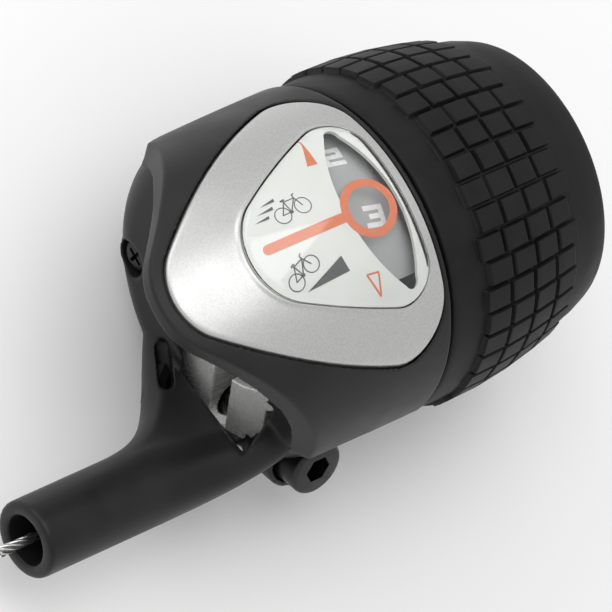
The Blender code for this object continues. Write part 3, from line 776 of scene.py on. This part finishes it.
def bracket_shell(finish):
    """The rear half of the body: closed inboard end, outlet, screw boss, bolt pad, slot and window."""
    seam_r, round_r = SHELL_OUT_R
    corner = arc((BODY_END_X + END_ROUND, round_r - END_ROUND), END_ROUND, 90.0, 180.0, 24)
    profile = [(seam_r, SEAM_X), (seam_r, -6.0)]
    profile += [(y, x) for x, y in corner]
    profile += [(END_BORE_R, BODY_END_X), (END_BORE_R, BODY_END_X + END_WALL)]
    profile += [(17.2, BODY_END_X + END_WALL), (SHELL_IN_R, -15.0), (SHELL_IN_R, SEAM_X)]
    shell = turned("bracket_shell", profile, steps=192)
    pad = bolt_rod("bolt_pad", EAR_HALF - 1.0, HEAD_SEAT + 0.8, BOLT_PAD_R)
    boss = rod("screw_boss", screw_place(SCREW_BOSS_X[0]), screw_place(SCREW_BOSS_X[1]), SCREW_BOSS_R)
    shaped(
        shell,
        (
            "DIFFERENCE",
            [
                block("front_half", (END_CAP_X, -FAR, -0.3), (10, FAR, FAR)),
                block("cap_top", (-FAR, -FAR, END_CAP_TOP), (0, FAR, FAR)),
            ],
        ),
        ("UNION", [outlet_body(), boss, pad]),
        (
            "DIFFERENCE",
            [
                block(
                    "ear_room",
                    (CLAMP_X[0] - 0.4, -12.0, 11.6),
                    (CLAMP_X[1] + 0.4, EAR_HALF + 0.3, 26.0),
                    frame=clamp_frame(),
                ),
                bolt_rod("bolt_room", 0.0, 16.0, BOLT_R + BOLT_GAP),
                bolt_rod("head_room", HEAD_SEAT - 0.3, 18.0, HEAD_ROOM_R),
                rod("screw_recess", screw_place(-19.0), screw_place(SCREW_TOP_X + 1.3), SCREW_ROOM_R),
                rod("outlet_bore", outlet(OUTLET_END_X - 3.0), outlet(FERRULE_SEAT_X), OUTLET_BORE_R),
                rod("cable_channel", outlet(FERRULE_SEAT_X - 1.0), outlet(CHANNEL_END_X), CHANNEL_R),
                access_slot(),
                clamp_window(),
            ],
        ),
    )
    return installed(moulded(shell, finish), "housing", "black_plastic", "bracket_housing")


# ---- dial


def bezel_frame(finish):
    """The silver frame: round outer edge, a face that follows the crown and a raised lip.

    Each station is a share of the way in from the outer edge and an offset from the crown.
    """
    edge = ((0.0, -0.8), (0.0, -0.3), (0.004, -0.12), (0.016, 0.0), (0.035, 0.05))
    face = tuple((0.035 + 0.87 * i / 16, 0.05) for i in range(1, 17))
    lip = ((0.925, 0.08), (0.945, 0.16), (0.965, 0.2), (0.985, 0.17), (0.998, 0.08))
    lip += ((1.0, -0.1), (1.0, -0.8))
    rings = []
    for t, height in edge + face + lip:
        outline = wedge_outline(mixed_plan(BEZEL_PLAN, LENS_PLAN, t))
        rings.append([crown(x, y, height) for x, y in outline])
    piece = loft("bezel_frame", rings, finish, sharp=50.0, ring_shape=True)
    return installed(piece, "housing", "silver_paint", "bezel")


def shrunk(outline, share):
    middle_x, middle_y = DIAL_CENTRE
    return [(middle_x + (x - middle_x) * share, middle_y + (y - middle_y) * share) for x, y in outline]


def disc_rings(outline, profile):
    """Rows from a disc's underside round its rim to its top; profile is (share, crown offset)."""
    return [[crown(x, y, offset) for x, y in shrunk(outline, share)] for share, offset in profile]


def dial_lens(finish):
    """The clear window: a thick polished edge and a low dome that follows the crown."""
    outline = wedge_outline(LENS_PLAN, 0.15)
    under = [(0.02 + 0.95 * (i / 14) ** 0.9, -0.2) for i in range(15)]
    rim = [(0.995, -0.15), (1.0, -0.05), (1.0, 0.15), (0.996, 0.28), (0.986, 0.4)]
    rim += [(0.97, 0.48), (0.95, 0.52)]
    top = [(0.95 - 0.93 * (i / 16) ** 1.1, 0.52 + 0.03 * i / 16) for i in range(1, 17)]
    piece = loft("dial_lens", disc_rings(outline, under + rim + top), finish, sharp=60.0)
    return installed(piece, "housing", "clear_lens", "lens")


def gear_window():
    """The opening over the number band: two shallow arcs that meet in round tips."""
    left = arc((3.95, 0.2), 13.8, 137.0, 223.0, 48)
    lower_tip = arc((-5.2, -8.9), 0.95, 200.0, 365.0, 12)
    right = arc((-32.5, 0.2), 29.6, -17.4, 17.4, 40)
    upper_tip = arc((-5.2, 9.3), 0.95, -5.0, 160.0, 12)
    return left + lower_tip + right + upper_tip


def dial_face(finish):
    """The printed plate under the lens, open over the number band."""
    outline = wedge_outline(LENS_PLAN, 0.3)
    under = [(0.02 + 0.98 * i / 20, DIAL_TOP - 0.5) for i in range(21)]
    top = [(1.0 - 0.98 * i / 20, DIAL_TOP) for i in range(21)]
    face = loft("dial_face", disc_rings(outline, under + top))
    shaped(face, ("DIFFERENCE", [prism("window_cut", gear_window(), 3.0, 33.0)]))
    return installed(refinished(face, finish, sharp=40.0), "housing", "white_dial", "dial_plate")


def on_dial(x, y, height):
    return crown(x, y, DIAL_TOP + height)


def strip(bm, left, right, surface=on_dial):
    """A printed band between two rows of plan points, as a thin closed solid on a surface."""
    low, high = PRINT_HEIGHT
    rows = []
    for a, b in zip(left, right):
        rows.append((surface(*a, high), surface(*b, high), surface(*b, low), surface(*a, low)))
    closed = left[0] == left[-1] and right[0] == right[-1]
    lofted(bm, rows[:-1] if closed else rows, ring_shape=closed)


def stroke(bm, points, width, surface=on_dial):
    """A line of even width along plan points; a closed row of points makes a ring."""
    closed = points[0] == points[-1]
    left, right = [], []
    last = len(points) - 1
    for i, (x, y) in enumerate(points):
        before = points[i - 1] if i else (points[last - 1] if closed else points[0])
        after = points[i + 1] if i < last else (points[1] if closed else points[last])
        dx, dy = after[0] - before[0], after[1] - before[1]
        size = math.hypot(dx, dy)
        nx, ny = -dy / size * width / 2, dx / size * width / 2
        left.append((x + nx, y + ny))
        right.append((x - nx, y - ny))
    strip(bm, left, right, surface)


def ring_points(centre, radius, pieces=48):
    points = arc(centre, radius, 0.0, 360.0, pieces)
    points[-1] = points[0]
    return points


def line_points(a, b, pieces=12):
    dx, dy = b[0] - a[0], b[1] - a[1]
    return [(a[0] + dx * i / pieces, a[1] + dy * i / pieces) for i in range(pieces + 1)]


def wedge_mark(bm, tip, left, right):
    """A filled triangle from a tip to two corners."""
    strip(bm, line_points(tip, left), line_points(tip, right))


def bicycle(bm, rear, front, up, width):
    """A small generic bicycle drawn from its rear and front hubs; up points away from the ground."""
    base = math.dist(rear, front)
    along = ((front[0] - rear[0]) / base, (front[1] - rear[1]) / base)

    def spot(forward, height):
        return (
            rear[0] + along[0] * forward * base + up[0] * height * base,
            rear[1] + along[1] * forward * base + up[1] * height * base,
        )

    for hub in (rear, front):
        stroke(bm, ring_points(hub, 0.35 * base, 32), width)
    crank, saddle, head = spot(0.42, -0.02), spot(0.3, 0.5), spot(0.8, 0.46)
    seat, stem, bars = spot(0.27, 0.57), spot(0.77, 0.6), spot(0.9, 0.64)
    for a, b in (
        (rear, crank),
        (crank, head),
        (crank, saddle),
        (saddle, head),
        (rear, saddle),
        (head, front),
        (saddle, seat),
        (head, stem),
        (stem, bars),
    ):
        stroke(bm, line_points(a, b, 4), width * 1.15)
    stroke(bm, line_points(spot(0.18, 0.58), spot(0.38, 0.58), 4), width * 2.2)
    stroke(bm, ring_points(crank, 0.05 * base, 16), width * 1.6)


def dial_marks(finishes):
    """The pointer, the arrows and the two bicycles, printed on the dial."""
    ring_centre, ring_r, ring_width = (-6.9, 0.15), 3.0, 0.95
    stem_end, stem_width = (-20.3, 0.65), 1.2
    orange = bmesh.new()
    stroke(orange, ring_points(ring_centre, ring_r, 72), ring_width)
    reach = ring_r + ring_width * 0.3
    dx, dy = stem_end[0] - ring_centre[0], stem_end[1] - ring_centre[1]
    size = math.hypot(dx, dy)
    ux, uy = dx / size, dy / size
    half = stem_width / 2
    stations = [(reach + (size - reach) * i / 24, half) for i in range(25)]
    for i in range(1, 9):
        turn = math.radians(90.0 * i / 8.5)
        stations.append((size + half * math.sin(turn), half * math.cos(turn)))
    left, right = [], []
    for far, wide in stations:
        left.append((ring_centre[0] + ux * far - uy * wide, ring_centre[1] + uy * far + ux * wide))
        right.append((ring_centre[0] + ux * far + uy * wide, ring_centre[1] + uy * far - ux * wide))
    strip(orange, left, right)
    wedge_mark(orange, (-8.65, 10.45), (-9.15, 7.2), (-10.4, 7.4))
    open_arrow = [(-9.6, -9.2), (-10.65, -6.5), (-9.1, -6.7), (-9.6, -9.2)]
    for a, b in zip(open_arrow, open_arrow[1:]):
        stroke(orange, line_points(a, b), 0.2)
    dark = bmesh.new()
    bicycle(dark, (-16.62, 3.4), (-13.9, 3.55), (0.1, 0.995), 0.1)
    for tip, low, high in (
        ((-20.0, 3.9), (-18.2, 3.75), (-18.1, 4.1)),
        ((-19.2, 4.65), (-17.2, 4.5), (-17.1, 4.9)),
        ((-18.3, 5.4), (-16.5, 5.3), (-16.4, 5.7)),
    ):
        wedge_mark(dark, tip, low, high)
    bicycle(dark, (-18.95, -4.0), (-16.5, -2.8), (-0.25, 0.968), 0.12)
    wedge_mark(dark, (-18.2, -5.45), (-12.8, -3.4), (-12.45, -5.3))
    for name, bm, ink in (("orange", orange, "orange"), ("dark", dark, "dark_ink")):
        piece = object_from(f"dial_print_{name}", bm, finishes[ink], sharp=40.0)
        installed(piece, "housing", "white_dial")


def number_strip(finishes):
    """The curved tongue behind the window, and a digit on it for each gear."""
    (in_r, out_r), (low_x, high_x) = BAND_R, BAND_X
    corners = ((in_r, low_x), (out_r, low_x), (out_r, high_x), (in_r, high_x))
    rings = []
    pieces = 96
    for i in range(pieces + 1):
        psi = BAND_PSI[0] + (BAND_PSI[1] - BAND_PSI[0]) * i / pieces
        rings.append([around(psi, r, x) for r, x in corners])
    piece = loft("number_strip", rings, finishes["grey"], sharp=40.0)
    installed(piece, "grip", "grey_band", "number_band")
    for gear in (1, 2, 3):
        digit(gear, DIGIT_PSI - GEAR_STEP * (3 - gear), finishes["white_ink"])


def digit(gear, psi, finish):
    """A white digit printed round the number strip, its top towards +Y."""

    def on_strip(x, y, height):
        turn = psi - math.degrees(y / BAND_R[1])
        return around(turn, BAND_R[1] + height, DIGIT_X + x)

    half_wide, half_tall = DIGIT_HALF
    tilt = Matrix.Rotation(math.radians(DIGIT_LEAN), 2)
    bm = bmesh.new()
    for ends in DIGIT_STROKES[gear]:
        a, b = (Vector((x * half_wide, y * half_tall)) for x, y in ends)
        reach = (b - a).normalized() * (DIGIT_WIDTH / 2)
        a, b = tilt @ (a - reach), tilt @ (b + reach)
        stroke(bm, line_points(tuple(a), tuple(b), 6), DIGIT_WIDTH, on_strip)
    installed(object_from(f"digit_{gear}", bm, finish, sharp=40.0), "grip", "grey_band")


# ---- clamp, bolt and sleeve


def clamp_steel(finish):
    """The split band with its two ears, the lip on their inboard edge, bolt hole and nut seat."""
    low_x, high_x = CLAMP_X
    profile = [(CLAMP_OUT_R, high_x), (CLAMP_OUT_R, low_x), (BAR_BORE_R, low_x), (BAR_BORE_R, high_x)]
    band = turned("clamp_steel", profile)
    frame = clamp_frame()
    ends = bolt_rod("ear_ends", -EAR_HALF, EAR_HALF, (high_x - low_x) / 2)
    shaped(
        band,
        (
            "UNION",
            [
                block("ears", (low_x, -EAR_HALF, EAR_START), (high_x, EAR_HALF, BOLT_REACH), frame=frame),
                block(
                    "ear_lip",
                    (low_x, -EAR_HALF - LIP_SIDES[0], LIP_START),
                    (low_x + LIP_WIDE, EAR_HALF + LIP_SIDES[1], BOLT_REACH + LIP_REACH),
                    frame=frame,
                ),
                ends,
            ],
        ),
        (
            "DIFFERENCE",
            [
                block("split", (low_x - 2, -SPLIT_HALF, 6.0), (high_x + 2, SPLIT_HALF, 26.0), frame=frame),
                bolt_rod("hole", -10.0, 10.0, BOLT_R + BOLT_GAP),
                bolt_rod("seat", -12.0, -2.8, NUT_ROOM_R),
            ],
        ),
    )
    return installed(moulded(band, finish, 0.2, 3), "housing", "steel", "clamp_band")


def clamp_screw(finish):
    """The socket-head bolt: a plain head with a rounded top edge and a hexagon socket."""
    top = HEAD_SEAT + HEAD_HEIGHT
    profile = [(BOLT_R - 0.5, -6.4), (BOLT_R, -5.9), (BOLT_R, HEAD_SEAT), (HEAD_R, HEAD_SEAT)]
    profile += [(HEAD_R, HEAD_SEAT + 0.3), (HEAD_R, top - 0.75)]
    for degrees in (0, 22, 45, 68, 90):
        turn = math.radians(degrees)
        inward = HEAD_ROUND * (1 - math.cos(turn))
        profile.append((HEAD_R - inward, top - HEAD_ROUND + HEAD_ROUND * math.sin(turn)))
    bolt = solid_turned("clamp_screw", profile, 96, bolt_frame())
    corner_r = SOCKET_FLAT / math.cos(math.radians(30))
    socket = bolt_rod("socket", top - SOCKET_DEPTH, top + 2.0, corner_r, sides=6)
    shaped(bolt, ("DIFFERENCE", [socket]))
    return installed(refinished(bolt, finish, sharp=30.0), "housing", "black_steel", "clamp_bolt")


def sleeve_tube(finish):
    """The sleeve that the grip turns on, with the retaining ring's groove and an inboard flange."""
    outer_r, bore_r = SLEEVE_OUT_R, SLEEVE_BORE_R
    profile = [(outer_r, 26.6), (outer_r, 26.0), (11.7, 26.0), (11.7, 25.0), (outer_r, 25.0)]
    profile += [(outer_r, -6.6), (13.6, -6.6), (13.6, -7.3), (bore_r + 0.3, -7.3), (bore_r, -7.0)]
    profile += [(bore_r, 26.3), (bore_r + 0.3, 26.6)]
    return installed(turned("sleeve_tube", profile, finish), "housing", "black_plastic", "bar_sleeve")


def pan_screw(finish):
    """The cover's screw, with a cross recess."""
    profile = [(0.9, 0.0), (1.5, 0.06), (1.85, 0.25), (2.0, 0.55), (2.0, 1.1), (1.0, 1.1)]
    profile += [(1.0, 7.6), (0.6, 7.8)]
    frame = facing(screw_place(SCREW_TOP_X), Vector((1, 0, 0)))
    screw = solid_turned("pan_screw", profile, 64, frame)
    x, y, z = screw_place(SCREW_TOP_X + CROSS_DEPTH)
    slots = [
        block("slot", (-18.0, y - wide / 2, z - tall / 2), (x, y + wide / 2, z + tall / 2))
        for wide, tall in ((CROSS_LONG, CROSS_WIDE), (CROSS_WIDE, CROSS_LONG))
    ]
    shaped(screw, ("DIFFERENCE", slots))
    return installed(refinished(screw, finish, sharp=30.0), "housing", "black_steel", "cover_screw")


# ---- grip and cable


def radius_at(x, stations):
    """The radius at x, in straight lines between (x, radius) stations and level past the ends."""
    if x <= stations[0][0]:
        return stations[0][1]
    for (x0, r0), (x1, r1) in zip(stations, stations[1:]):
        if x <= x1:
            return r0 + (r1 - r0) * ((x - x0) / (x1 - x0))
    return stations[-1][1]


def smooth_step(value, width):
    part = min(max(value / width, 0.0), 1.0)
    return part * part * (3.0 - 2.0 * part)


def row_shift(row):
    """How far a row of blocks is set along the bar from its neighbours."""
    return 0.24 * math.sin(2.4 * row) + (0.22 if row % 2 else -0.22)


def block_height(x, psi):
    """From 0 in a groove to 1 on top of a block."""
    pitch = 360.0 / TREAD_ROWS
    position = (psi - TREAD_FIRST_PSI) / pitch
    row = math.floor(position)
    low, high = TREAD_X
    width = (high - low) / TREAD_COLUMNS
    along = x - low - row_shift(row % TREAD_ROWS)
    column = math.floor(along / width)
    if not 0 <= column < TREAD_COLUMNS:
        return 0.0
    row_length = math.radians(pitch) * radius_at(x, BLOCK_TOPS)
    across = (position - row) * row_length
    edge = min(along - column * width, (column + 1) * width - along, across, row_length - across)
    return smooth_step(edge - GROOVE_HALF, BLOCK_EDGE)


def grip_tread(finish):
    """The rubber sleeve: a smooth collar, rows of raised blocks and a smooth tapered end.

    Its points round the bar are close together at the blocks' edges and sparse on their tops.
    """
    row_length = math.radians(360.0 / TREAD_ROWS) * COLLAR_R
    near_groove = [0.0, GROOVE_HALF, GROOVE_HALF + 0.06, GROOVE_HALF + 0.12, GROOVE_HALF + BLOCK_EDGE]
    inside = [0.62, 1.1, row_length - 1.1, row_length - 0.62]
    far_groove = [row_length - v for v in reversed(near_groove[1:])]
    turns = []
    for row in range(TREAD_ROWS):
        for offset in near_groove + inside + far_groove:
            turns.append(TREAD_FIRST_PSI + 360.0 / TREAD_ROWS * (row + offset / row_length))

    def ring(x, radius):
        return [around(psi, radius, x) for psi in turns]

    def smooth_rings(*stations):
        return [ring(x, radius_at(x, GRIP_SURFACE)) for x in stations]

    start, end = GRIP_START_X, GRIP_END_X
    low, high = TREAD_X[0] - 0.8, TREAD_X[1] + 0.8
    rings = [ring(start, GRIP_IN_R), ring(start, COLLAR_R - 0.4), ring(start + 0.12, COLLAR_R - 0.14)]
    rings += smooth_rings(start + 0.4, 1.5, 2.6, 3.6)
    pieces = round((high - low) / TREAD_STEP)
    for k in range(pieces + 1):
        x = low + (high - low) * k / pieces
        base, top = radius_at(x, GRIP_SURFACE), radius_at(x, BLOCK_TOPS)
        rings.append([around(psi, base + (top - base) * block_height(x, psi), x) for psi in turns])
    rings += smooth_rings(22.2, 23.2, 24.2, 25.2, 26.0)
    for dx, radius in ((0.6, 16.82), (0.25, 16.6), (0.06, 16.35), (0.0, 16.0), (0.0, GRIP_IN_R)):
        rings.append(ring(end - dx, radius))
    piece = loft("grip_tread", rings, finish, sharp=60.0, ring_shape=True)
    return installed(piece, "grip", "grip_rubber", "rubber_grip")


def cable_strands(finish):
    """The cut end of the inner wire: six strands laid round a seventh, slightly splayed."""
    start_x, end_x = STRAND_X
    stations, sides = 36, 10
    section = []
    for j in range(sides):
        angle = 2.0 * math.pi * j / sides
        section.append(Vector((0.0, STRAND_R * math.cos(angle), STRAND_R * math.sin(angle))))
    bm = bmesh.new()
    for strand in range(7):
        shorter = max(0.22 * math.sin(2.1 * strand), 0.0)  # how much less of it stands out
        rings = []
        for i in range(stations + 1):
            x = start_x + (end_x - start_x) * i / stations
            splay = 1.0 + 0.25 * smooth_step(SPLAY_X - x, 2.0)
            turn = 2.0 * math.pi * (strand / 6.0 + (x - start_x) / STRAND_PITCH)
            reach = 0.0 if strand == 6 else STRAND_LAY * splay
            centre = outlet(x) + Vector((0.0, reach * math.cos(turn), reach * math.sin(turn)))
            if i == stations:
                centre.x += shorter
            rings.append([centre + point for point in section])
        lofted(bm, rings)
    piece = object_from("cable_strands", bm, finish, sharp=50.0)
    return installed(piece, "cable", "steel", "cable_tail")


def dress_nodes(frame, finishes):
    """Give each CAD node that still shows its finish."""
    for node, finish in {
        "clamp_nut": "brass",
        "retaining_ring": "steel",
        "thrust_washer": "nylon",
        "index_spring": "steel",
        "cable_guide": "core",
        "cable_bend": "wire",
        "grip_core": "core",
        "index_ring": "steel",
        "cable_nipple": "steel",
        "cable_wrap": "wire",
    }.items():
        slots = frame["nodes"][node].material_slots
        if not slots:
            frame["nodes"][node].data.materials.append(finishes[finish])
        for slot in slots:
            slot.material = finishes[finish]


# ---- camera, floor and light


def make_camera():
    """Place the camera; return its back, right and up directions."""
    back, side = Vector(CAMERA_BACK).normalized(), Vector(CAMERA_SIDE)
    side = (side - back * side.dot(back)).normalized()
    over = back.cross(side)
    roll = math.radians(CAMERA_ROLL)
    right = side * math.cos(roll) - over * math.sin(roll)
    up = side * math.sin(roll) + over * math.cos(roll)
    aim = (side * CAMERA_AIM[0] + over * CAMERA_AIM[1]) * MM
    data = bpy.data.cameras.new("camera")
    data.lens = CAMERA_LENS
    data.sensor_width = SENSOR
    distance = CAMERA_WIDTH * MM * CAMERA_LENS / SENSOR
    camera = bpy.data.objects.new("camera", data)
    camera.matrix_world = Matrix.Translation(aim + back * distance) @ frame_of(right, up, back)
    data.clip_start, data.clip_end = 0.01, 10.0
    bpy.context.scene.collection.objects.link(camera)
    bpy.context.scene.camera = camera
    bpy.context.scene.view_settings.view_transform = "Standard"
    return back, right, up


def area_light(name, direction, size, power):
    """A rectangular lamp in this direction from the object, with its size in metres."""
    data = bpy.data.lights.new(name, "AREA")
    data.shape = "RECTANGLE"
    data.size, data.size_y = size
    data.energy = power
    light = bpy.data.objects.new(name, data)
    direction = Vector(direction).normalized()
    light.location = Vector(LIGHT_AIM) + direction * LIGHT_DISTANCE
    light.rotation_euler = direction.to_track_quat("Z", "Y").to_euler()
    bpy.context.scene.collection.objects.link(light)


def make_stage(lowest):
    """A pale floor just below the object and an even white surround."""
    made, tree, shader = new_material("floor_pale", (0.93, 0.93, 0.93), 0.8)
    drift = noise_node(tree, 3.0, 2.0)
    tinted(tree, shader, drift.outputs["Fac"], (0.925, 0.925, 0.925), (0.94, 0.94, 0.94))
    bm = bmesh.new()
    bmesh.ops.create_grid(bm, x_segments=4, y_segments=4, size=2000.0)
    floor = object_from("floor", bm, made)
    floor.location.z = lowest - FLOOR_DROP
    world = bpy.data.worlds.new("studio")
    bpy.context.scene.world = world
    world.use_nodes = True
    background = world.node_tree.nodes["Background"]
    background.inputs["Color"].default_value = (1.0, 1.0, 1.0, 1.0)
    background.inputs["Strength"].default_value = WORLD_STRENGTH


def make_lights(back, right, up):
    """A soft lamp overhead, a key from the camera's upper left and a fill from its left."""
    area_light("overhead", (-0.15, 0.1, 1.0), size=(0.32, 0.32), power=0.62)
    area_light("key", back * 0.55 + up * 0.75 - right * 0.35, size=(0.3, 0.2), power=0.4)
    area_light("fill", back * 0.4 - right * 0.9 - up * 0.2, size=(0.3, 0.3), power=0.2)


def main():
    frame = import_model()
    cad_low, cad_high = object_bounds()
    finishes = make_materials()
    back, right, up = make_camera()
    make_stage(cad_low.z)
    make_lights(back, right, up)
    cover_shell(finishes["cover"])
    bracket_shell(finishes["bracket"])
    bezel_frame(finishes["silver"])
    dial_lens(finishes["lens"])
    dial_face(finishes["white"])
    dial_marks(finishes)
    number_strip(finishes)
    clamp_steel(finishes["steel"])
    clamp_screw(finishes["black_steel"])
    sleeve_tube(finishes["core"])
    pan_screw(finishes["black_steel"])
    grip_tread(finishes["rubber"])
    cable_strands(finishes["wire"])
    dress_nodes(frame, finishes)


main()
